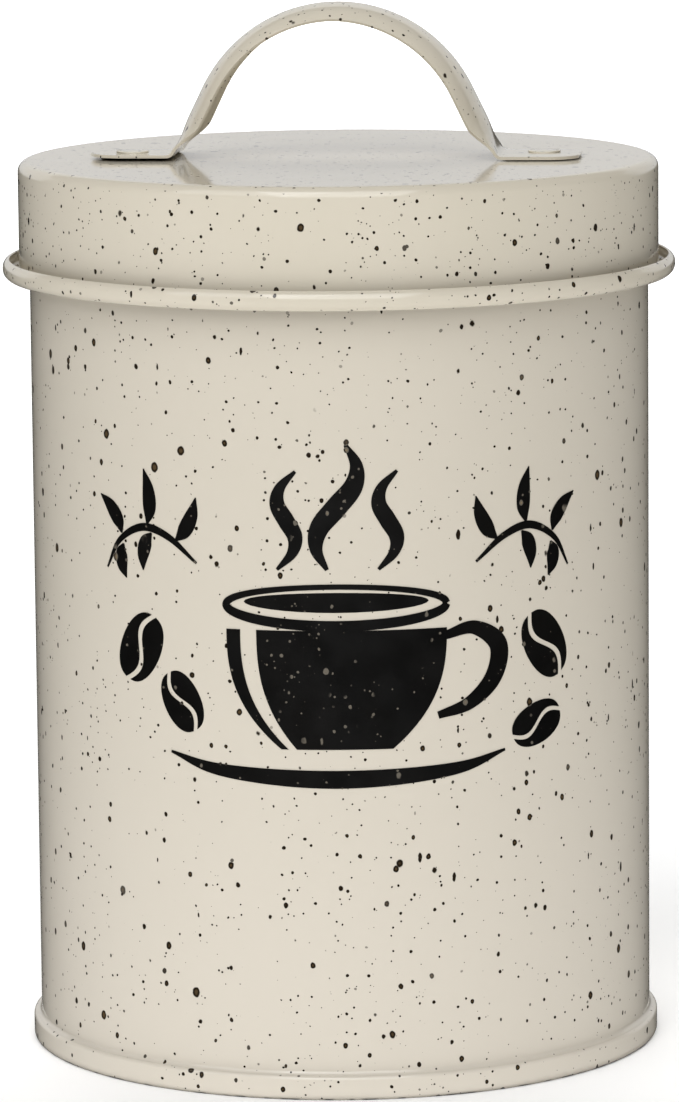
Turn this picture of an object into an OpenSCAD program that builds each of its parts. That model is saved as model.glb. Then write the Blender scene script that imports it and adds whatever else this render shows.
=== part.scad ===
// Coffee canister of painted sheet steel: a seamed body, a slip-over lid with a
// curled skirt, and a pressed strap handle on two rivets. All sizes are in mm.
// The foot stands on z = 0, the canister's axis is Z, and the handle runs along X.

/* [Body] */
// Outside diameter of the wall
body_d = 120; // [112:1:150]
// Height of the lid's top face above the foot
top_z = 172.4; // [120:0.1:220]
// Thickness of the sheet steel
sheet_t = 0.4; // [0.3:0.05:0.4]
// How far the curled rim stands out from the wall
rim_out = 1.3; // [1.2:0.1:2]
// Width of the lap where the rolled sheet meets itself
lap_w = 5; // [3:0.5:8]

/* [Foot] */
// How far the seam stands out from the wall
seam_out = 1.5; // [1.5:0.1:2]
// Height of the seam
seam_h = 4.6; // [4:0.1:6]
// Height of the recessed bottom panel above the ground
panel_z = 5; // [4:0.5:9]
// Diameter of the step pressed into the bottom panel
step_d = 100; // [60:1:104]
// Height of that step
step_h = 0.8; // [0.5:0.1:1.5]

/* [Lid] */
// Clearance between the body's rim and the lid's skirt
lid_gap = 0.3; // [0.2:0.05:0.6]
// Height of the lid, from the skirt's lowest edge to the top face
lid_h = 22.7; // [15:0.1:35]
// Outside radius of the edge around the top face
edge_r = 1.5; // [1:0.1:3]
// Outside radius of the curl at the bottom of the skirt
curl_r = 1.8; // [1.4:0.1:2.4]
// How far the open curl turns back towards the skirt, in degrees
curl_deg = 65; // [30:1:90]

/* [Handle] */
// Rise of the handle above the lid's top face
handle_rise = 30; // [27:0.5:33]
// Outside radius of the arch
arch_r = 29; // [27:0.5:30]
// Lean of the two legs away from upright, in degrees
leg_lean = 26; // [20:1:32]
// Width of the strap
strap_w = 20; // [14:1:24]
// Thickness of the strap
strap_t = 1; // [0.8:0.1:1.2]
// Height of the strap's crown between its rolled edges
crown_h = 2.1; // [1.5:0.1:2.5]
// Distance from the canister's axis to each tab's end
tab_end = 47.2; // [45:0.1:50]
// Radius of the corners of each tab
tab_corner_r = 6; // [3:0.5:6.5]
// Gap between the tabs and the lid
tab_gap = 0.3; // [0.1:0.1:0.5]

/* [Rivets] */
// Distance from the canister's axis to each rivet
rivet_x = 40; // [39:0.1:41]
// Diameter of the rivet's head
head_d = 6.5; // [5:0.1:7.5]
// Height of the rivet's head
head_h = 0.9; // [0.6:0.1:1.4]
// Diameter of the rivet's shank
shank_d = 3.2; // [2.5:0.1:4]
// Diameter of the clinched tail inside the lid
tail_d = 5.2; // [4.5:0.1:7]

/* [Hidden] */
$fn = 128;

ENAMEL = "#dcd3bf";
STEEL = "#b9b4a8";

body_r = body_d / 2;

// The lid, from the outside in
lid_in = body_r + rim_out + lid_gap;
lid_out = lid_in + sheet_t;
curl_x = lid_in + curl_r;
curl_z = top_z - lid_h + curl_r;
curl_side = 0.35;

// The rolled rim at the top of the body wall, just under the lid's top panel
rim_r = (rim_out + sheet_t) / 2;
rim_x = body_r - sheet_t + rim_r;
rim_z = top_z - sheet_t - 0.2 - rim_r;

// The double seam: the bottom's cover hook lies between the wall and the wall's own hook
seam_gap = 0.06;
seam_r = body_r + seam_out;
chuck_out = body_r - sheet_t - seam_gap;
chuck_in = chuck_out - sheet_t;
cover_in = body_r + seam_gap;
hook_in = cover_in + sheet_t + seam_gap;
hook_bend_r = (hook_in + sheet_t - (body_r - sheet_t)) / 2;
hook_bend_x = body_r - sheet_t + hook_bend_r;
hook_bend_z = sheet_t + seam_gap + hook_bend_r;
cover_bend_r = (seam_r - cover_in) / 2;
cover_bend_x = cover_in + cover_bend_r;
cover_bend_z = seam_h - cover_bend_r;
hook_end_gap = 0.1;
foot_r = 0.7;
panel_r = 1.4;

// The handle's arch, legs and feet, in the plane of X and Z
arch_z = top_z + handle_rise - arch_r;
crown_r = (strap_w * strap_w / 4 + crown_h * crown_h) / (2 * crown_h);
foot_drop = 0.6;
foot_bend_r = 1.2;
foot_z = top_z + tab_gap + strap_t + foot_bend_r;
foot_x = (arch_r - foot_drop + foot_bend_r - (foot_z - arch_z) * sin(leg_lean)) / cos(leg_lean);
leg_l = foot_x * sin(leg_lean) - (foot_z - arch_z) * cos(leg_lean);
leg_overlap = 6;
crown_end = 1.5;
crest_overlap = 2;

// A wedge from the origin, between two angles, that reaches well past radius r
module wedge(r, from, to) {
    steps = ceil((to - from) / 45);
    polygon(concat([[0, 0]], [for (i = [0:steps])
        let (a = from + (to - from) * i / steps) 2 * r * [cos(a), sin(a)]]));
}

// A bent length of strip, in section: an arc of outer radius r and thickness t
module bend(x, z, r, t, from, to) {
    translate([x, z]) intersection() {
        difference() {
            circle(r);
            circle(r - t);
        }
        wedge(r, from, to);
    }
}

// A straight length of upright strip, in section
module upright(x, t, z_low, z_high) {
    translate([x, z_low]) square([t, z_high - z_low]);
}

// The wall: hooked into the seam at the foot, and rolled outward at the rim
module wall_section() {
    upright(body_r - sheet_t, sheet_t, hook_bend_z, rim_z);
    bend(hook_bend_x, hook_bend_z, hook_bend_r, sheet_t, 180, 360);
    upright(hook_in, sheet_t, hook_bend_z, cover_bend_z - hook_end_gap);
    bend(rim_x, rim_z, rim_r, sheet_t, -90, 180);
}

module body_wall() {
    lap_deg = lap_w / body_r * 180 / PI;
    color(ENAMEL) {
        rotate_extrude() wall_section();
        rotate([0, 0, 90 - lap_deg / 2]) rotate_extrude(angle = lap_deg)
            upright(body_r - 2 * sheet_t, sheet_t * 1.1, panel_z + step_h + 2, rim_z);
    }
}

// The bottom panel, from its centre out to the bend at the chuck wall
module panel_section() {
    high = panel_z + step_h;
    step_r = step_d / 2;
    edge = chuck_out - panel_r;
    inset = sheet_t * tan(22.5);
    polygon([
        [0, high - sheet_t], [step_r - step_h, high - sheet_t], [step_r, panel_z - sheet_t],
        [edge, panel_z - sheet_t], [edge, panel_z], [step_r + inset, panel_z],
        [step_r - step_h + inset, high], [0, high]
    ]);
}

// The bottom: a recessed panel, the chuck wall, the flat foot, and the seam around the wall
module base_section() {
    panel_section();
    bend(chuck_out - panel_r, panel_z - panel_r, panel_r, sheet_t, 0, 90);
    upright(chuck_in, sheet_t, foot_r, panel_z - panel_r);
    bend(chuck_in + foot_r, foot_r, foot_r, sheet_t, 180, 270);
    translate([chuck_in + foot_r, 0]) square([seam_r - chuck_in - 2 * foot_r, sheet_t]);
    bend(seam_r - foot_r, foot_r, foot_r, sheet_t, 270, 360);
    upright(seam_r - sheet_t, sheet_t, foot_r, cover_bend_z);
    bend(cover_bend_x, cover_bend_z, cover_bend_r, sheet_t, 0, 180);
    upright(cover_in, sheet_t, hook_bend_z + hook_end_gap, cover_bend_z);
}

module base_plate() {
    color(STEEL) rotate_extrude() base_section();
}

// The lid: a flat top, a rounded edge, an upright skirt and an open outward curl
module lid_section() {
    translate([0, top_z - sheet_t]) square([lid_out - edge_r, sheet_t]);
    bend(lid_out - edge_r, top_z - edge_r, edge_r, sheet_t, 0, 90);
    upright(lid_in, sheet_t, curl_z, top_z - edge_r);
    bend(curl_x, curl_z, curl_r, sheet_t, 180, 360);
    upright(curl_x + curl_r - sheet_t, sheet_t, curl_z, curl_z + curl_side);
    bend(curl_x, curl_z + curl_side, curl_r, sheet_t, 0, curl_deg);
}

module lid_cap() {
    color(ENAMEL) difference() {
        rotate_extrude() lid_section();
        for (side = [-1, 1]) translate([side * rivet_x, 0, top_z - 2 * sheet_t])
            cylinder(d = shank_d, h = 3 * sheet_t);
    }
}

// The strap's crowned section: X is outward from the arch, Y is across the strap
module crowned_section() {
    intersection() {
        translate([-crown_r, 0]) difference() {
            circle(crown_r);
            circle(crown_r - strap_t);
        }
        translate([-crown_r, -strap_w / 2]) square([crown_r, strap_w]);
    }
}

// The foot from the side, in X and Z: a flat strip up the leg, the bend, and the tab
module foot_profile() {
    translate([foot_x, foot_z]) {
        bend(0, 0, foot_bend_r + strap_t, strap_t, 180 + leg_lean, 270);
        rotate(leg_lean) translate([-foot_bend_r - strap_t, 0]) square([strap_t, leg_overlap]);
    }
    translate([foot_x, top_z + tab_gap]) square([tab_end - foot_x, strap_t]);
}

// What is cut off a tab's outer corners, seen from above, and its rivet hole
module tab_cuts() {
    for (side = [0, 1]) mirror([0, side])
        translate([tab_end - tab_corner_r, strap_w / 2 - tab_corner_r]) difference() {
            square(tab_corner_r + 1);
            circle(tab_corner_r);
        }
    translate([rivet_x, 0]) circle(d = shank_d);
}

// Half of the handle: just over half the arch, the crowned leg, and the flat foot
module handle_half() {
    translate([0, 0, arch_z]) {
        rotate([90, 0, 0]) rotate([0, 0, leg_lean])
            rotate_extrude(angle = 90 + crest_overlap - leg_lean)
                translate([arch_r, 0]) crowned_section();
        rotate([0, -leg_lean, 0]) translate([arch_r, 0, crown_end - leg_l])
            linear_extrude(leg_l - crown_end) crowned_section();
    }
    difference() {
        rotate([90, 0, 0]) linear_extrude(strap_w, center = true) foot_profile();
        translate([0, 0, top_z]) linear_extrude(2 * strap_t) tab_cuts();
    }
}

module handle_strap() {
    color(ENAMEL) {
        handle_half();
        mirror([1, 0, 0]) handle_half();
    }
}

// A low domed disc of diameter d and height h, standing on z = 0
module low_dome(d, h) {
    rim = h * 0.35;
    dome = h - rim;
    r = (d * d / 4 + dome * dome) / (2 * dome);
    rotate_extrude() {
        square([d / 2, rim]);
        intersection() {
            translate([0, h - r]) circle(r);
            translate([0, rim]) square([d / 2, dome]);
        }
    }
}

// A rivet: head on the tab, shank through the tab and the lid, tail clinched inside
module rivet() {
    seat = top_z + tab_gap + strap_t;
    translate([0, 0, seat]) low_dome(head_d, head_h);
    translate([0, 0, top_z - sheet_t]) cylinder(d = shank_d, h = seat - top_z + sheet_t);
    translate([0, 0, top_z - sheet_t]) mirror([0, 0, 1]) low_dome(tail_d, head_h);
}

module rivet_left() {
    color(ENAMEL) translate([-rivet_x, 0, 0]) rivet();
}

module rivet_right() {
    color(ENAMEL) translate([rivet_x, 0, 0]) rivet();
}

body_wall();
base_plate();
lid_cap();
handle_strap();
rivet_left();
rivet_right();
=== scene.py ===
"""Looks of the speckled steel coffee canister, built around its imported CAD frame.

Everything is in metres, in the CAD frame: the foot stands on z = 0, the canister's axis is Z,
the handle runs along X, and the printed front faces -Y.
"""

import math

import bpy
import numpy as np
from mathutils import Matrix, Vector


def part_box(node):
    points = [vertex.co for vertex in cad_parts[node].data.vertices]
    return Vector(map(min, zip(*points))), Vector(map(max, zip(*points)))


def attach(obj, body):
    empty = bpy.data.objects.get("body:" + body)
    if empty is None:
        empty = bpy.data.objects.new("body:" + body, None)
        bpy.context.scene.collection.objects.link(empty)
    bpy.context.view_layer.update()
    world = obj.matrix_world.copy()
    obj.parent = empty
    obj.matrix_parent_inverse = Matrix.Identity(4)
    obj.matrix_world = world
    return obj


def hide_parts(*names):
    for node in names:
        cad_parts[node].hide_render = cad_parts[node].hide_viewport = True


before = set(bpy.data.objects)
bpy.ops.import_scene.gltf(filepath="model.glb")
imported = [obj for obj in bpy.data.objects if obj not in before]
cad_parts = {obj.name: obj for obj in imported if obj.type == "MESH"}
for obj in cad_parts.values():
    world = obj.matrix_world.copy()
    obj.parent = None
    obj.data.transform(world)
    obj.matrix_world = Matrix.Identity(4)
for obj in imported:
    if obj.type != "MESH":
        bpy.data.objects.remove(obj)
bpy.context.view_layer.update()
MM = 0.001


# ---------------------------------------------------------------- sizes, from the frame

def reach(node):
    """Outside radius of a round CAD node."""
    low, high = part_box(node)
    return max(high.x, high.y, -low.x, -low.y)


def top_of(node):
    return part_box(node)[1].z


def bottom_of(node):
    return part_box(node)[0].z


# The sheet metal: its thickness, its bends, and the clearances between sheets
SHEET = 0.4 * MM
SEAM_GAP = 0.06 * MM
SEAM_OUT = 1.5 * MM
SEAM_H = 4.6 * MM
SEAM_FILLET = 0.9 * MM
FOOT_R = 0.7 * MM
PANEL_Z = 5.0 * MM
PANEL_BEND = 1.4 * MM
STEP_R = 50.0 * MM
STEP_H = 0.8 * MM
STEP_BEND = 0.6 * MM
RIM_OUT = 1.3 * MM
LID_EDGE = 2.1 * MM
CURL_R = 1.8 * MM
CURL_SIDE = 0.35 * MM
CURL_DEG = 65
HOOK_END = 0.1 * MM
SAME_POINT = 1e-7

SEAM_R = reach("base_plate")
WALL_R = SEAM_R - SEAM_OUT
LID_TOP = top_of("lid_cap")
LID_R = reach("lid_cap") - 2 * CURL_R + SHEET
RIM_TOP = top_of("body_wall")

# The strap, whose crown is deeper down the sides of the arch than at its crest
STRAP_LOW, STRAP_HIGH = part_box("handle_strap")
STRAP_W = STRAP_HIGH.y - STRAP_LOW.y
STRAP_SHEET = 0.6 * MM
STRAP_EDGE = 0.26 * MM
TAB_END = STRAP_HIGH.x
TAB_CORNER = 6.0 * MM
ARCH_R = 29.0 * MM
ARCH_Z = STRAP_HIGH.z - ARCH_R
LEG_LEAN = math.radians(26)
CROWN_TOP = 2.7 * MM
CROWN_SIDE = 3.3 * MM
FOOT_DROP = 0.6 * MM
FOOT_BEND = 1.2 * MM
TAB_TOP = STRAP_LOW.z + STRAP_SHEET
TAB_LENGTH = 3.6 * TAB_CORNER

# The photograph looks at the canister from this far round to its right
CAMERA_AZIMUTH = math.radians(5.1)


# ---------------------------------------------------------------- mesh helpers

def add_object(name, verts, faces, body, replaces=()):
    """A smooth-shaded mesh piece that rides on a CAD body."""
    mesh = bpy.data.meshes.new(name)
    mesh.from_pydata([tuple(v) for v in verts], [], faces)
    mesh.validate()
    mesh.shade_smooth()
    piece = bpy.data.objects.new(name, mesh)
    bpy.context.scene.collection.objects.link(piece)
    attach(piece, body)
    if replaces:
        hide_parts(*replaces)
    return piece


def apply_modifiers(piece):
    """Bakes a piece's modifiers into its mesh."""
    evaluated = piece.evaluated_get(bpy.context.evaluated_depsgraph_get())
    mesh = bpy.data.meshes.new_from_object(evaluated)
    piece.modifiers.clear()
    piece.data = mesh


def line(start, end, steps=1):
    """Points from start to end, without the end."""
    run, rise = (end[0] - start[0]) / steps, (end[1] - start[1]) / steps
    return [(start[0] + run * i, start[1] + rise * i) for i in range(steps)]


def arc(x, z, radius, first, last, step=9):
    """Points along an arc, in degrees, from first to last."""
    count = max(2, round(abs(last - first) / step))
    angles = [math.radians(first + (last - first) * i / count) for i in range(count + 1)]
    return [(x + radius * math.cos(a), z + radius * math.sin(a)) for a in angles]


def strip_section(middle, thickness, round_start=True):
    """The closed outline of a strip of sheet, from the line along its middle.

    A strip that starts on the axis is left square there, so that it closes on the axis."""
    points = np.array([p for i, p in enumerate(middle)
                       if i == 0 or math.dist(p, middle[i - 1]) > SAME_POINT])
    along = np.gradient(points, axis=0)
    along /= np.linalg.norm(along, axis=1)[:, None]
    across = np.stack([-along[:, 1], along[:, 0]], 1) * thickness / 2
    if not round_start:
        across[0] = (0, across[0][1])
    caps = [math.radians(a) for a in (60, 30, 0, -30, -60)]
    end = [points[-1] + along[-1] * math.cos(a) * thickness / 2 + across[-1] * math.sin(a) for a in caps]
    start = [points[0] - along[0] * math.cos(a) * thickness / 2 - across[0] * math.sin(a) for a in caps]
    return [*(points + across), *end, *(points - across)[::-1], *(start if round_start else [])]


def revolve(outline, segments, shape=None):
    """Verts and faces of a section turned about Z. Points on the axis become one pole each.

    shape, if given, moves each point: it takes (radius, z, azimuth) and returns (radius, z)."""
    verts, rings = [], []
    on_axis = [abs(r) < SAME_POINT for r, z in outline]
    for (r, z), pole in zip(outline, on_axis):
        if pole:
            rings.append([len(verts)] * segments)
            verts.append((0, 0, z))
            continue
        rings.append(list(range(len(verts), len(verts) + segments)))
        for k in range(segments):
            azimuth = 2 * math.pi * k / segments
            rr, zz = shape(r, z, azimuth) if shape else (r, z)
            verts.append((rr * math.sin(azimuth), -rr * math.cos(azimuth), zz))
    faces = []
    for i in range(len(outline)):
        j = (i + 1) % len(outline)
        if on_axis[i] and on_axis[j]:
            continue
        for k in range(segments):
            n = (k + 1) % segments
            corner = [rings[i][k], rings[i][n], rings[j][n], rings[j][k]]
            faces.append([v for m, v in enumerate(corner) if v != corner[m - 1]])
    return verts, faces


def smooth_step(x, low, high):
    t = min(1.0, max(0.0, (x - low) / (high - low)))
    return t * t * (3 - 2 * t)


# ---------------------------------------------------------------- sheet-metal pieces

def body_shell():
    """The wall: hooked into the seam, upright, rolled outward at the rim, and lapped at the back."""
    half = SHEET / 2
    cover_in = WALL_R + SEAM_GAP
    hook_x = cover_in + SHEET + SEAM_GAP + half
    bend_r = (hook_x - WALL_R + half) / 2
    bend_z = SHEET + SEAM_GAP + bend_r + half
    hook_top = SEAM_H - (SEAM_R - cover_in) / 2 - HOOK_END
    rim_r = RIM_OUT / 2
    rim_z = RIM_TOP - rim_r - half
    wall_x = WALL_R - half
    middle = [
        *line((hook_x, hook_top), (hook_x, bend_z), 3),
        *arc(wall_x + bend_r, bend_z, bend_r, 0, -180, 15),
        *line((wall_x, bend_z), (wall_x, rim_z), 40)[1:],
        *arc(wall_x + rim_r, rim_z, rim_r, 180, -90, 12),
    ]
    lap_start, lap_rise, lap_fall, lap_step = -0.04, 0.006, 0.075, 0.13 * MM

    def lap(r, z, azimuth):
        """The overlapping edge at the back: a low step up, then an easy fall, both in radians."""
        if not SEAM_H < z < rim_z - 2 * rim_r:
            return r, z
        away = azimuth - math.pi
        rise = smooth_step(away, lap_start - lap_rise, lap_start)
        fall = 1 - smooth_step(away, lap_start, lap_fall)
        return r + lap_step * rise * fall, z

    verts, faces = revolve(strip_section(middle, SHEET), 360, lap)
    return add_object("body_shell", verts, faces, "canister", ["body_wall"])


def base_pan():
    """The bottom: a stepped panel, the flat foot, and the seam, whose crease the paint fills."""
    half = SHEET / 2
    chuck_x = WALL_R - SHEET - SEAM_GAP - half
    side_x = SEAM_R - half
    cover_x = WALL_R + SEAM_GAP + half
    seam_bend = (side_x - cover_x) / 2
    seam_x, seam_z = cover_x + seam_bend, SEAM_H - (side_x - cover_x) / 2 - half
    corner = FOOT_R - half
    panel = PANEL_Z - half
    meets_wall, nearly_upright = 10, 178
    fillet_x = WALL_R + SEAM_FILLET * math.cos(math.radians(meets_wall))
    fillet_z = seam_z + math.sqrt((seam_bend + half + SEAM_FILLET) ** 2 - (fillet_x - seam_x) ** 2)
    shoulder = math.degrees(math.atan2(fillet_z - seam_z, fillet_x - seam_x))
    middle = [
        *line((0, panel + STEP_H), (STEP_R - STEP_H, panel + STEP_H), 24),
        *arc(STEP_R - STEP_H, panel + STEP_H - STEP_BEND, STEP_BEND, 90, 45, 15),
        *arc(STEP_R + 0.1 * MM, panel + STEP_BEND, STEP_BEND, 225, 270, 15),
        *line((STEP_R + STEP_BEND, panel), (chuck_x - PANEL_BEND + half, panel), 4),
        *arc(chuck_x - PANEL_BEND + half, panel - PANEL_BEND + half, PANEL_BEND - half, 90, 0),
        *line((chuck_x, panel - PANEL_BEND + half), (chuck_x, corner + half), 3)[1:],
        *arc(chuck_x + corner, half + corner, corner, 180, 270, 15),
        *arc(side_x - corner, half + corner, corner, 270, 360, 15),
        *line((side_x, half + corner), (side_x, seam_z), 5)[1:],
        *arc(seam_x, seam_z, seam_bend, 0, shoulder, 8),
        *arc(fillet_x, fillet_z, SEAM_FILLET + half, 180 + shoulder, nearly_upright, 8),
    ]
    verts, faces = revolve(strip_section(middle, SHEET, round_start=False), 360)
    return add_object("base_pan", verts, faces, "canister", ["base_plate"])


def lid_shell():
    """The lid: a flat top, a rounded edge, the skirt and its open outward curl."""
    half = SHEET / 2
    skirt_x = LID_R - half
    edge = LID_EDGE - half
    curl = CURL_R - half
    curl_x = skirt_x + curl
    curl_z = bottom_of("lid_cap") + CURL_R
    top = LID_TOP - half
    rivet_x = (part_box("rivet_right")[0].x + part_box("rivet_right")[1].x) / 2
    middle = [
        *line((0, top), (skirt_x - edge, top), 60),
        *arc(skirt_x - edge, top - edge, edge, 90, 0, 7.5),
        *line((skirt_x, top - edge), (skirt_x, curl_z), 12)[1:],
        *arc(curl_x, curl_z, curl, 180, 360, 7.5),
        *arc(curl_x, curl_z + CURL_SIDE, curl, 0, CURL_DEG, 7.5),
    ]
    dimple, spread = 0.1 * MM, 7 * MM

    def pull(r, z, azimuth):
        """The shallow dimples that the rivets pull into the top."""
        if z < LID_TOP - 2 * SHEET or r > skirt_x - edge:
            return r, z
        x, y = r * math.sin(azimuth), -r * math.cos(azimuth)
        near = min(math.hypot(x - rivet_x, y), math.hypot(x + rivet_x, y))
        return r, z - dimple * math.exp(-(near / spread) ** 2)

    verts, faces = revolve(strip_section(middle, SHEET, round_start=False), 360, pull)
    return add_object("lid_shell", verts, faces, "lid", ["lid_cap"])


# ---------------------------------------------------------------- the handle and its rivets

def half_strap_path():
    """Rows along half of the strap, from its tab's end to the crest.

    Each row is (x, z, normal x, normal z, half width, crown), on the strap's upper face."""
    bend_z = TAB_TOP + FOOT_BEND
    face_r = ARCH_R - FOOT_DROP
    bend_x = (face_r + FOOT_BEND - (bend_z - ARCH_Z) * math.sin(LEG_LEAN)) / math.cos(LEG_LEAN)
    leg = bend_x * math.sin(LEG_LEAN) - (bend_z - ARCH_Z) * math.cos(LEG_LEAN)
    half = STRAP_W / 2
    corner_rows, tab_rows, bend_rows, leg_rows, arch_rows = 12, 10, 8, 20, 40
    rows = []
    for i in range(corner_rows):
        turn = math.radians(90 * (1 - i / corner_rows))
        x = TAB_END - TAB_CORNER + TAB_CORNER * math.sin(turn)
        rows.append((x, TAB_TOP, 0, 1, half - TAB_CORNER + TAB_CORNER * math.cos(turn), 0))
    for i in range(tab_rows):
        x = TAB_END - TAB_CORNER + (bend_x - TAB_END + TAB_CORNER) * i / tab_rows
        rows.append((x, TAB_TOP, 0, 1, half, 0))
    for i in range(bend_rows):
        a = math.radians(270) - (math.pi / 2 - LEG_LEAN) * i / bend_rows
        rows.append((bend_x + FOOT_BEND * math.cos(a), bend_z + FOOT_BEND * math.sin(a),
                     -math.cos(a), -math.sin(a), half, 0.0))
    normal = (math.cos(LEG_LEAN), math.sin(LEG_LEAN))
    flatten = 7 * MM

    def crown_at(angle):
        return CROWN_TOP + (CROWN_SIDE - CROWN_TOP) * math.cos(angle)

    for i in range(leg_rows):
        up = leg * i / leg_rows
        crown = smooth_step(up, 0, flatten)
        out = face_r + FOOT_DROP * crown
        down = leg - up
        rows.append((out * normal[0] + down * normal[1], ARCH_Z + out * normal[1] - down * normal[0],
                     *normal, half, crown_at(LEG_LEAN) * crown))
    for i in range(arch_rows + 1):
        a = LEG_LEAN + (math.pi / 2 - LEG_LEAN) * i / arch_rows
        rows.append((ARCH_R * math.cos(a), ARCH_Z + ARCH_R * math.sin(a),
                     math.cos(a), math.sin(a), half, crown_at(a)))
    return rows


def handle_loft():
    """The strap: one crowned sheet, swept over the arch and flattened into the tabs.

    The left tab's front edge lifts a little, the right one's drops, and both back edges are
    pressed down."""
    right = half_strap_path()
    rows = [*right, *[(-x, z, -nx, nz, w, c) for x, z, nx, nz, w, c in right[-2::-1]]]
    columns = 41
    lift_left, lift_right, press = 0.3 * MM, -0.1 * MM, 0.33 * MM
    flat_middle = 0.35
    round_share = 0.7
    verts = []
    for x, z, nx, nz, width, crown in rows:
        on_tab = smooth_step(abs(x), TAB_END - TAB_LENGTH, TAB_END - TAB_LENGTH + TAB_CORNER)
        lift = (lift_left if x < 0 else lift_right) * on_tab
        for j in range(columns):
            u = -1 + 2 * j / (columns - 1)
            drop = crown * (round_share * u ** 2 + (1 - round_share) * u ** 8)
            front = max(0.0, -u - flat_middle) / (1 - flat_middle)
            back = max(0.0, u - flat_middle) / (1 - flat_middle)
            bent = lift * front ** 2 - press * on_tab * back ** 2
            verts.append((x - nx * drop, u * width, z - nz * drop + bent))
    faces = [[i * columns + j, i * columns + j + 1, (i + 1) * columns + j + 1, (i + 1) * columns + j]
             for i in range(len(rows) - 1) for j in range(columns - 1)]
    piece = add_object("handle_loft", verts, faces, "lid", ["handle_strap"])
    solid = piece.modifiers.new("sheet", "SOLIDIFY")
    solid.thickness = STRAP_SHEET
    solid.offset = -1
    solid.use_even_offset = True
    bevel = piece.modifiers.new("edge", "BEVEL")
    bevel.width = STRAP_EDGE
    bevel.segments = 4
    bevel.limit_method = "ANGLE"
    bevel.angle_limit = math.radians(50)
    apply_modifiers(piece)
    piece.data.shade_smooth()
    return piece


def rivet_piece(name, node, seed):
    """A rivet: a low, slightly uneven head, its shank, and the tail clinched inside the lid."""
    low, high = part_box(node)
    centre_x = (low.x + high.x) / 2
    head_r = (high.x - low.x) / 2
    head_h = 0.42 * MM
    crest = TAB_TOP + head_h
    inside = LID_TOP - SHEET
    tail_r, tail_round = 2.6 * MM, 0.3 * MM
    shank = 1.6 * MM
    out_of_round, out_of_level = 0.03, 0.07 * MM
    rng = np.random.default_rng(seed)
    phases = rng.uniform(0, 2 * math.pi, 3)
    outline = [
        (0, crest - 0.25 * head_h),
        *[(head_r * 0.8 * i / 6, crest - head_h * (0.25 - 0.22 * (i / 6) ** 2)) for i in range(1, 6)],
        *arc(head_r - 0.5 * head_h, crest - 0.55 * head_h, 0.5 * head_h, 80, -30, 18),
        (head_r * 0.93, TAB_TOP), (shank, TAB_TOP), (shank, inside),
        *arc(tail_r - tail_round, inside - tail_round, tail_round, 80, -60, 20),
        (tail_r * 0.6, low.z), (0, low.z),
    ]

    def uneven(r, z, azimuth):
        """Makes the head a little out of round and out of level."""
        if z < TAB_TOP or r < shank:
            return r, z
        wave = sum(math.sin(k * azimuth + p) for k, p in zip((2, 3, 5), phases))
        lower = out_of_level * (1 + math.sin(2 * azimuth + phases[0]))
        return r * (1 - out_of_round * (3 + wave) / 3), z - lower

    verts, faces = revolve(outline, 72, uneven)
    verts = [(x + centre_x, y, z) for x, y, z in verts]
    return add_object(name, verts, faces, "lid", [node])


# ---------------------------------------------------------------- the printed motif

MOTIF_AZIMUTH = math.radians(4)
MOTIF_Z = 92.4 * MM
INK_RISE = 0.03 * MM


def on_wall(across, up, rise):
    """A point of the print, given in millimetres across and up from the motif's centre."""
    azimuth = MOTIF_AZIMUTH + across * MM / WALL_R
    r = WALL_R + rise
    return (r * math.sin(azimuth), -r * math.cos(azimuth), MOTIF_Z + up * MM)


def smooth_curve(knots, steps=14):
    """Points of a smooth curve through knots of any dimension (Catmull-Rom)."""
    p = [np.array(k, float) for k in knots]
    p = [2 * p[0] - p[1], *p, 2 * p[-1] - p[-2]]
    points = []
    for a, b, c, d in zip(p, p[1:], p[2:], p[3:]):
        for i in range(steps):
            t = i / steps
            points.append(0.5 * (2 * b + (c - a) * t + (2 * a - 5 * b + 4 * c - d) * t * t
                                 + (3 * b - a - 3 * c + d) * t ** 3))
    return np.array([*points, p[-2]])


def brush(knots):
    """A brush stroke's grid of points, from knots of (across, up, width)."""
    curve = smooth_curve(knots)
    along = np.gradient(curve[:, :2], axis=0)
    along /= np.linalg.norm(along, axis=1)[:, None]
    across = np.stack([-along[:, 1], along[:, 0]], 1)
    thinnest = 0.08
    half = np.maximum(curve[:, 2:3], thinnest) / 2
    return [[tuple(p + a * h * side) for side in (-1, -0.34, 0.34, 1)]
            for p, a, h in zip(curve[:, :2], across, half)]


def between(left, right, rows, columns=12):
    """A filled shape's grid between two edges, each a function of 0 to 1 giving (across, up)."""
    grid = []
    for i in range(rows + 1):
        a, b = np.array(left(i / rows)), np.array(right(i / rows))
        grid.append([tuple(a + (b - a) * j / columns) for j in range(columns + 1)])
    return grid


def bean(x, y, length, width, degrees):
    """The two halves of a coffee bean, with the curved cleft left bare between them."""
    turn = math.radians(degrees)
    sway, gap, plump = 0.16 * width, 0.055 * width, 0.8

    def place(t, v):
        return (x + t * math.cos(turn) - v * math.sin(turn), y + t * math.sin(turn) + v * math.cos(turn))

    def edge(side, outer):
        def at(share):
            angle = math.pi * share
            t = -math.cos(angle)
            cleft = sway * math.sin(math.pi * t) + side * gap
            rim = side * max(abs(cleft), width / 2 * math.sin(angle) ** plump)
            return place(length / 2 * t, rim if outer else cleft)
        return at
    return [between(edge(side, False), edge(side, True), 28, 6) for side in (1, -1)]


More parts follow.
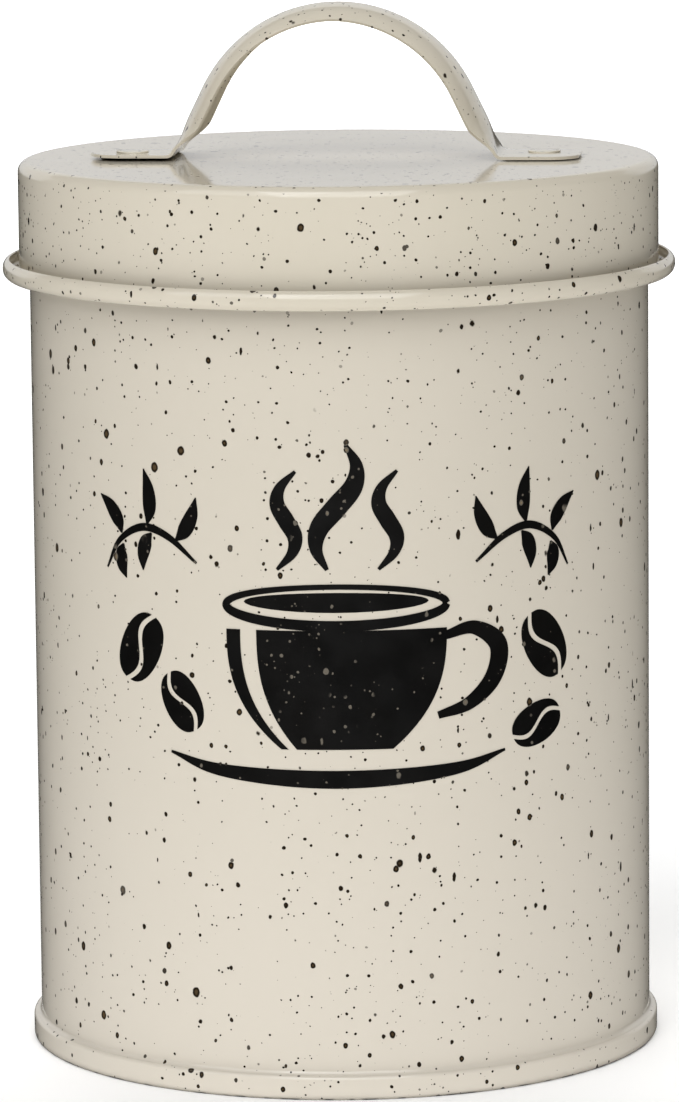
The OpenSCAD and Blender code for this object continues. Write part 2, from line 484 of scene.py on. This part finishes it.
def cup():
    """The cup: its bowl with a bare highlight, the rim, the ear and the saucer."""
    top, low, wide, narrow, roundness = -3.0, -25.5, 21.0, 10.5, 2.6
    shine_out, shine_in = 0.87, 0.72

    def side(share, sign):
        """The bowl's outline: upright at the rim, and rounding in to the foot."""
        drop = share ** roundness
        return (sign * (wide + (narrow - wide) * drop), top + (low - top) * share)

    def shine(share, at):
        x, y = side(share, -1)
        return (x * at, y)
    bowl = [
        between(lambda s: side(s, -1), lambda s: shine(s, shine_out), 26, 2),
        between(lambda s: shine(s, shine_in), lambda s: side(s, 1), 26, 20),
    ]
    turns = [math.radians(a) for a in range(0, 361, 12)]
    rim = brush([(wide * math.cos(a), 1.6 + 3.7 * math.sin(a), 1.5 - 0.5 * math.sin(a)) for a in turns])
    coffee = between(lambda s: (-17.5 * math.sin(math.pi * s), 2.3 - 1.9 * math.cos(math.pi * s)),
                     lambda s: (17.5 * math.sin(math.pi * s), 2.3 - 1.9 * math.cos(math.pi * s)), 16, 20)
    ear = brush([(20.6, -4.5, 1.6), (26.5, -3.4, 2.6), (31.6, -7.0, 3.8), (30.6, -13.0, 3.6),
                 (25.6, -17.6, 2.6), (19.2, -19.6, 1.4)])
    saucer = brush([(-33, -27.2, 0.5), (-22, -30.0, 2.4), (0, -31.2, 3.4), (22, -30.0, 2.4),
                    (33, -27.2, 0.5)])
    return [*bowl, rim, coffee, ear, saucer]


def steam():
    """Three curls of steam, thick in the middle and thin at both ends."""
    def curl(x, low, high, sway, weight):
        count = 7
        return brush([(x + sway * math.sin(2 * math.pi * i / (count - 1)) + 0.6 * i,
                       low + (high - low) * i / (count - 1),
                       weight * math.sin(math.pi * (0.06 + 0.88 * i / (count - 1)))) for i in range(count)])
    return [curl(-11, 8.5, 27, 2.6, 3.2), curl(-1.6, 8.5, 32, -3.0, 4.0), curl(8.0, 8.5, 27, 2.6, 3.2)]


def leaf(x, y, lean, long, side):
    """One leaf: bowed to one side, widest near its stalk, and drawn out to a point."""
    bow = 0.8

    def at(share, bowed, width):
        across = x + share * long * math.cos(lean) - bowed * math.sin(lean)
        up = y + share * long * math.sin(lean) + bowed * math.cos(lean)
        return (side * across, up, width)
    return brush([at(0, 0, 0.4), at(0.28, bow, 2.9), at(0.64, bow, 2.6), at(1, 0, 0.2)])


def sprig(side):
    """A leafy sprig on the left (-1) or right (1) of the cup."""
    stem = brush([(side * 27, 9, 0.5), (side * 33, 13.5, 1.3), (side * 39, 15.0, 1.5),
                  (side * 45, 12.0, 1.1), (side * 48.5, 6.5, 0.4)])
    leaves = []
    for x, y, lean, long in ((31.5, 13.0, 118, 9.5), (38.0, 15.6, 86, 10.5), (44.4, 13.4, 50, 9.0),
                             (37.0, 14.0, -74, 7.5), (44.0, 11.4, -96, 6.5)):
        leaves.append(leaf(x, y, math.radians(lean), long, side))
    return [stem, *leaves]


def motif():
    """A generic printed picture in place of the lettering: a steaming cup, beans and sprigs."""
    grids = [*cup(), *steam(), *sprig(-1), *sprig(1),
             *bean(-40, -8, 14, 9.5, 62), *bean(-30.5, -17.5, 12, 8, 118),
             *bean(42.5, -8, 14, 9.5, 122), *bean(40.5, -23.0, 12, 8, 20)]
    verts, faces = [], []
    for grid in grids:
        first, columns = len(verts), len(grid[0])
        verts += [on_wall(*p, INK_RISE) for row in grid for p in row]
        faces += [[first + i * columns + j, first + i * columns + j + 1,
                   first + (i + 1) * columns + j + 1, first + (i + 1) * columns + j]
                  for i in range(len(grid) - 1) for j in range(columns - 1)]
    piece = add_object("motif_print", verts, faces, "canister")
    solid = piece.modifiers.new("ink", "SOLIDIFY")
    solid.thickness = 2 * INK_RISE
    solid.offset = -1
    apply_modifiers(piece)
    piece.data.set_sharp_from_angle(angle=math.radians(40))
    return piece


# ---------------------------------------------------------------- materials

class Shader:
    """A node material that is built up one named step at a time."""

    def __init__(self, name):
        self.material = bpy.data.materials.new(name)
        self.material.use_nodes = True
        self.tree = self.material.node_tree
        self.surface = self.tree.nodes["Principled BSDF"]

    def node(self, kind, inputs=(), **settings):
        made = self.tree.nodes.new(kind)
        for key, value in settings.items():
            setattr(made, key, value)
        for key, value in dict(inputs).items():
            self.feed(made.inputs[key], value)
        return made

    def feed(self, socket, value):
        if isinstance(value, bpy.types.NodeSocket):
            self.tree.links.new(value, socket)
        else:
            socket.default_value = value

    def math(self, operation, a, b=0.0, clamp=False):
        return self.node("ShaderNodeMath", {0: a, 1: b}, operation=operation, use_clamp=clamp).outputs[0]

    def multiply_add(self, a, b, c):
        return self.node("ShaderNodeMath", {0: a, 1: b, 2: c}, operation="MULTIPLY_ADD").outputs[0]

    def ramp(self, value, low, high, to_low=0.0, to_high=1.0):
        """Smoothly turns low..high into to_low..to_high."""
        return self.node("ShaderNodeMapRange", {"Value": value, "From Min": low, "From Max": high,
                                                "To Min": to_low, "To Max": to_high},
                         interpolation_type="SMOOTHSTEP").outputs["Result"]

    def mix(self, share, a, b):
        made = self.node("ShaderNodeMix", data_type="RGBA")
        self.feed(made.inputs["Factor"], share)
        self.feed(made.inputs["A"], a)
        self.feed(made.inputs["B"], b)
        return made.outputs["Result"]

    def noise(self, coords, size, detail=2.0):
        """Noise from about 0.3 to 0.7, with features of a size in metres."""
        made = self.node("ShaderNodeTexNoise", {"Vector": coords, "Scale": 1 / size, "Detail": detail})
        return made.outputs["Fac"]

    def coordinates(self):
        return self.node("ShaderNodeTexCoord").outputs["Object"]

    def moved(self, coords, offset=(0, 0, 0), turn=(0, 0, 0), scale=(1, 1, 1)):
        return self.node("ShaderNodeMapping", {"Vector": coords, "Location": offset,
                                               "Rotation": turn, "Scale": scale}).outputs["Vector"]


CREAM = (0.602, 0.554, 0.460, 1)
CREAM_WARM = (0.592, 0.545, 0.448, 1)
CREAM_WALL = (0.563, 0.519, 0.441, 1)
# Painted light: the wall's colour at the foot, lighter than CREAM_WALL to stand in for the floor's bounce
# light
CREAM_FOOT_BOUNCE_LIT = (0.602, 0.557, 0.484, 1)
SPOT = (0.015, 0.009, 0.004, 1)
SPOT_CENTRE = (0.085, 0.055, 0.025, 1)
BARE_STEEL = (0.20, 0.19, 0.175, 1)
INK = (0.003, 0.0028, 0.0026, 1)
INK_WORN = (0.0045, 0.004, 0.0036, 1)
INK_DOT = (0.12, 0.105, 0.082, 1)
INK_DOT_CENTRE = (0.19, 0.14, 0.075, 1)


def spatter(sh, coords, cell, size, share, offset, turn=(0, 0, 0), scale=(1, 1, 1), faintest=0.5):
    """Round drops of paint: returns (distance from a drop's centre in radii, drop cover 0 to 1).

    cell is the spacing of possible drops, size the largest radius, share how many are there,
    and faintest the cover of the thinnest drops."""
    placed = sh.moved(coords, offset, turn, scale)
    cells = sh.node("ShaderNodeTexVoronoi", {"Vector": placed, "Scale": 1 / cell})
    chance = sh.node("ShaderNodeSeparateColor", {"Color": cells.outputs["Color"]})
    radius = sh.multiply_add(chance.outputs["Red"], 0.65 * size / cell, 0.35 * size / cell)
    there = sh.math("LESS_THAN", chance.outputs["Green"], share)
    radius = sh.math("MAXIMUM", sh.math("MULTIPLY", radius, there), 1e-4)
    into = sh.math("DIVIDE", cells.outputs["Distance"], radius)
    strength = sh.ramp(chance.outputs["Blue"], 0.0, 0.2, faintest, 1.0)
    cover = sh.math("MULTIPLY", sh.ramp(into, 1.12, 0.88), strength)
    return into, cover


def spatter_layers(sh, coords, crowded=False):
    """The paint's drops, from a millimetre and a half across to a fine mist, thicker if crowded.

    Returns (cover of all drops, cover of the large drops' lighter hearts)."""
    wobble_size, wobble_reach = 0.9 * MM, 0.3 * MM
    wobble = sh.node("ShaderNodeTexNoise", {"Vector": coords, "Scale": 1 / wobble_size, "Detail": 1.0})
    shift = sh.node("ShaderNodeVectorMath", {0: wobble.outputs["Color"], 1: (0.5, 0.5, 0.5)},
                    operation="SUBTRACT").outputs[0]
    shift = sh.node("ShaderNodeVectorMath", {0: shift, "Scale": wobble_reach}, operation="SCALE").outputs[0]
    bent = sh.node("ShaderNodeVectorMath", {0: coords, 1: shift}, operation="ADD").outputs[0]
    fewest, most, more = (0.38, 0.68, 0.85) if crowded else (0.08, 0.4, 0.45)
    crowd = sh.ramp(sh.noise(coords, 20 * MM, 2), 0.38, 0.62, fewest, most)
    slant, tall = (0, 0.5, 0), (1, 1, 0.8)
    large_into, spots = spatter(sh, bent, 6.4 * MM, 0.80 * MM, 0.9, (0.013, 0.002, 0.007), slant, tall, 0.9)
    middle_into, middle = spatter(sh, bent, 3.4 * MM, 0.56 * MM, 0.9, (0.004, 0.021, 0.011), slant, tall,
                                  0.9)
    rest = [
        spatter(sh, bent, 4.8 * MM, 0.42 * MM, 0.8, (0.031, 0.009, 0.017), (0.3, 0.6, 0), (1, 1, 0.4)),
        spatter(sh, bent, 2.0 * MM, 0.37 * MM, more, (0.002, 0.006, 0.027)),
        spatter(sh, bent, 1.5 * MM, 0.25 * MM, crowd, (0.017, 0.012, 0.003)),
        spatter(sh, bent, 1.15 * MM, 0.14 * MM, crowd, (0.022, 0.027, 0.019)),
    ]
    hearts = sh.math("MAXIMUM", sh.ramp(large_into, 0.70, 0.35), sh.ramp(middle_into, 0.55, 0.2))
    spots = sh.math("MAXIMUM", spots, middle)
    for into, cover in rest:
        spots = sh.math("MAXIMUM", spots, cover)
    return spots, hearts


def enamel(name, inside_radius=0.0, inside_top=0.0, on_lid=True, foot_wear=False):
    """Warm cream paint with fine dark spatter: mottled, faintly orange-peeled, satin-glossy.

    The lid's paint is warmer than the wall's and has more spatter. The wall's paint is painted lighter
    towards the foot, a painted glow standing in for the floor's bounce light.
    Paint nearer the axis than inside_radius, and lower than inside_top, has no spatter."""
    sh = Shader(name)
    coords = sh.coordinates()
    mottle = sh.noise(coords, 35 * MM, 3)
    base = sh.mix(sh.ramp(mottle, 0.35, 0.65), CREAM, CREAM_WARM)
    xyz = sh.node("ShaderNodeSeparateXYZ", {"Vector": coords})
    if not on_lid:
        # Painted light: the wall's colour grows lighter from 110 mm down to 10 mm, a painted glow of the
        # floor's bounce light
        wall = sh.mix(sh.ramp(xyz.outputs["Z"], 110 * MM, 10 * MM), CREAM_WALL, CREAM_FOOT_BOUNCE_LIT)
        base = sh.mix(0.8, base, wall)
    spots, hearts = spatter_layers(sh, coords, crowded=on_lid)
    if inside_radius:
        flat = sh.math("SQRT", sh.math("ADD", sh.math("MULTIPLY", xyz.outputs["X"], xyz.outputs["X"]),
                                       sh.math("MULTIPLY", xyz.outputs["Y"], xyz.outputs["Y"])))
        inside = sh.math("MULTIPLY", sh.math("LESS_THAN", flat, inside_radius),
                         sh.math("LESS_THAN", xyz.outputs["Z"], inside_top))
        spots = sh.math("SUBTRACT", spots, inside, clamp=True)
    colour = sh.mix(spots, base, sh.mix(sh.math("MULTIPLY", hearts, 0.8), SPOT, SPOT_CENTRE))
    if foot_wear:
        low = sh.ramp(xyz.outputs["Z"], 0.5 * MM, 0.0)
        rub = sh.ramp(sh.noise(coords, 3 * MM, 4), 0.46, 0.60)
        worn = sh.math("MULTIPLY", low, rub)
        colour = sh.mix(worn, colour, BARE_STEEL)
        sh.feed(sh.surface.inputs["Metallic"], sh.math("MULTIPLY", worn, 0.8))
    sh.feed(sh.surface.inputs["Base Color"], colour)
    rough = sh.ramp(sh.noise(coords, 14 * MM, 4), 0.3, 0.7, 0.36, 0.44)
    sh.feed(sh.surface.inputs["Roughness"], rough)
    sh.surface.inputs["Specular IOR Level"].default_value = 0.1
    sh.surface.inputs["Coat Weight"].default_value = 1.0
    sh.surface.inputs["Coat Roughness"].default_value = 0.07
    height = sh.multiply_add(spots, 0.5, sh.math("MULTIPLY", sh.noise(coords, 1.6 * MM, 2), 0.22))
    bump = sh.node("ShaderNodeBump", {"Strength": 0.5, "Distance": 0.03 * MM, "Height": height})
    sh.feed(sh.surface.inputs["Normal"], bump.outputs["Normal"])
    return sh.material


def ink():
    """Satin black print over the spatter. About half of the drops stand through it as tan dots."""
    sh = Shader("motif_ink")
    coords = sh.coordinates()
    tone = sh.ramp(sh.noise(coords, 9 * MM, 3), 0.3, 0.7)
    black = sh.mix(tone, INK, INK_WORN)
    spots, hearts = spatter_layers(sh, coords)
    spots = sh.math("MULTIPLY", spots, sh.ramp(sh.noise(coords, 5 * MM, 2), 0.42, 0.52))
    dot = sh.mix(hearts, INK_DOT, INK_DOT_CENTRE)
    sh.feed(sh.surface.inputs["Base Color"], sh.mix(spots, black, dot))
    sh.feed(sh.surface.inputs["Roughness"], sh.ramp(sh.noise(coords, 6 * MM, 3), 0.3, 0.7, 0.34, 0.46))
    sh.surface.inputs["Specular IOR Level"].default_value = 0.32
    bump = sh.node("ShaderNodeBump", {"Strength": 0.5, "Distance": 0.02 * MM,
                                      "Height": sh.math("ADD", spots, sh.noise(coords, 0.8 * MM, 2))})
    sh.feed(sh.surface.inputs["Normal"], bump.outputs["Normal"])
    return sh.material


# ---------------------------------------------------------------- studio

def camera():
    """The photograph's viewpoint: a long lens, a little above the lid and a little to its right."""
    distance, height, side = 1.200, 0.2832, -0.0004
    pitch, roll = 0.1555, -0.0093
    focal_in_frame_heights = 5.6358
    data = bpy.data.cameras.new("camera")
    data.sensor_width = 36
    data.lens = data.sensor_width * focal_in_frame_heights
    data.clip_start, data.clip_end = 0.01, 50
    look = Vector((0, math.cos(pitch), -math.sin(pitch)))
    right = Vector((1, 0, 0))
    up = Vector((0, math.sin(pitch), math.cos(pitch)))
    x = right * math.cos(roll) + up * math.sin(roll)
    y = up * math.cos(roll) - right * math.sin(roll)
    pose = Matrix((x, y, -look)).transposed().to_4x4()
    pose.translation = Vector((side, -distance, height))
    cam = bpy.data.objects.new("camera", data)
    cam.matrix_world = Matrix.Rotation(CAMERA_AZIMUTH, 4, "Z") @ pose
    bpy.context.scene.collection.objects.link(cam)
    bpy.context.scene.camera = cam


def area_light(name, place, aim, size, power, colour=(1, 1, 1)):
    data = bpy.data.lights.new(name, "AREA")
    data.shape = "RECTANGLE"
    data.size, data.size_y = size
    data.energy = power
    data.color = colour
    light = bpy.data.objects.new(name, data)
    light.location = place
    light.rotation_euler = (Vector(aim) - Vector(place)).to_track_quat("-Z", "Y").to_euler()
    bpy.context.scene.collection.objects.link(light)
    return light


def floor():
    """A white floor out to the horizon, which glows a little near the canister and more far off.

    Gloss does not show it, as if the canister stood in a dim room."""
    half = 12.0
    near, far = 1.6, 3.6
    near_glow, far_glow = 0.07, 1.0
    mesh = bpy.data.meshes.new("floor")
    corners = [(-half, -half, 0), (half, -half, 0), (half, half, 0), (-half, half, 0)]
    mesh.from_pydata(corners, [], [(0, 1, 2, 3)])
    piece = bpy.data.objects.new("floor", mesh)
    piece.visible_glossy = False
    bpy.context.scene.collection.objects.link(piece)
    sh = Shader("floor_paper")
    coords = sh.coordinates()
    grain = sh.noise(coords, 40 * MM, 2)
    sh.feed(sh.surface.inputs["Base Color"], sh.mix(grain, (0.93, 0.93, 0.93, 1), (0.95, 0.95, 0.95, 1)))
    sh.surface.inputs["Roughness"].default_value = 0.9
    sh.surface.inputs["Specular IOR Level"].default_value = 0.1
    sh.surface.inputs["Emission Color"].default_value = (1, 1, 1, 1)
    away = sh.node("ShaderNodeVectorMath", {0: coords}, operation="LENGTH").outputs["Value"]
    sh.feed(sh.surface.inputs["Emission Strength"], sh.ramp(away, near, far, near_glow, far_glow))
    sh.material.cycles.emission_sampling = "NONE"
    mesh.materials.append(sh.material)


def around(azimuth, elevation, distance, height):
    """A place round the canister. Azimuth counts to the right of the camera, from the front."""
    turn = math.radians(azimuth) + CAMERA_AZIMUTH
    rise = math.radians(elevation)
    flat = distance * math.cos(rise)
    return (flat * math.sin(turn), -flat * math.cos(turn), distance * math.sin(rise) + height)


def studio():
    """Softboxes in front and behind, a wide pale panel at the back, and light on and from the floor.

    Gloss shows only the two front softboxes and the panel."""
    middle = (0, 0, 0.09)
    camera()
    floor()
    room = bpy.data.worlds.new("studio")
    room.use_nodes = True
    room.node_tree.nodes["Background"].inputs["Strength"].default_value = 0.02
    bpy.context.scene.world = room
    area_light("softbox_front", around(0, 42, 3.0, 0.09), middle, (2.4, 3.2), 68.5)
    area_light("softbox_left", around(-40, 45, 3.0, 0.09), middle, (2.4, 2.4), 29)
    back = area_light("softbox_back", around(180, 45, 3.0, 0.09), middle, (1.8, 1.8), 12.4)
    area_light("panel_back", around(180, 0, 4.0, 1.2), (0, 0, 0.1), (9.0, 2.2), 39.5)
    wash = area_light("floor_wash", (0, 2.2, 1.8), (0, 2.2001, 0), (5.0, 3.2), 86)
    glow = area_light("floor_glow", (0, 0, 0.0004), (0, 0.0001, 1), (0.6, 0.6), 0.68)
    glow.visible_camera = False
    for light in (back, wash, glow):
        light.visible_glossy = False
    bpy.context.scene.view_settings.view_transform = "Standard"


# ---------------------------------------------------------------- assembly

inside_wall = WALL_R - 0.6 * SHEET
inside_lid = LID_R - 0.6 * SHEET
speckled = enamel("speckled_enamel")
body_shell().data.materials.append(enamel("body_enamel", inside_wall, LID_TOP, on_lid=False))
base_pan().data.materials.append(enamel("base_enamel", inside_wall, LID_TOP, on_lid=False, foot_wear=True))
lid_shell().data.materials.append(enamel("lid_enamel", inside_lid, LID_TOP - 0.6 * SHEET))
handle_loft().data.materials.append(speckled)
rivet_piece("rivet_left_head", "rivet_left", 11).data.materials.append(speckled)
rivet_piece("rivet_right_head", "rivet_right", 12).data.materials.append(speckled)
motif().data.materials.append(ink())
studio()
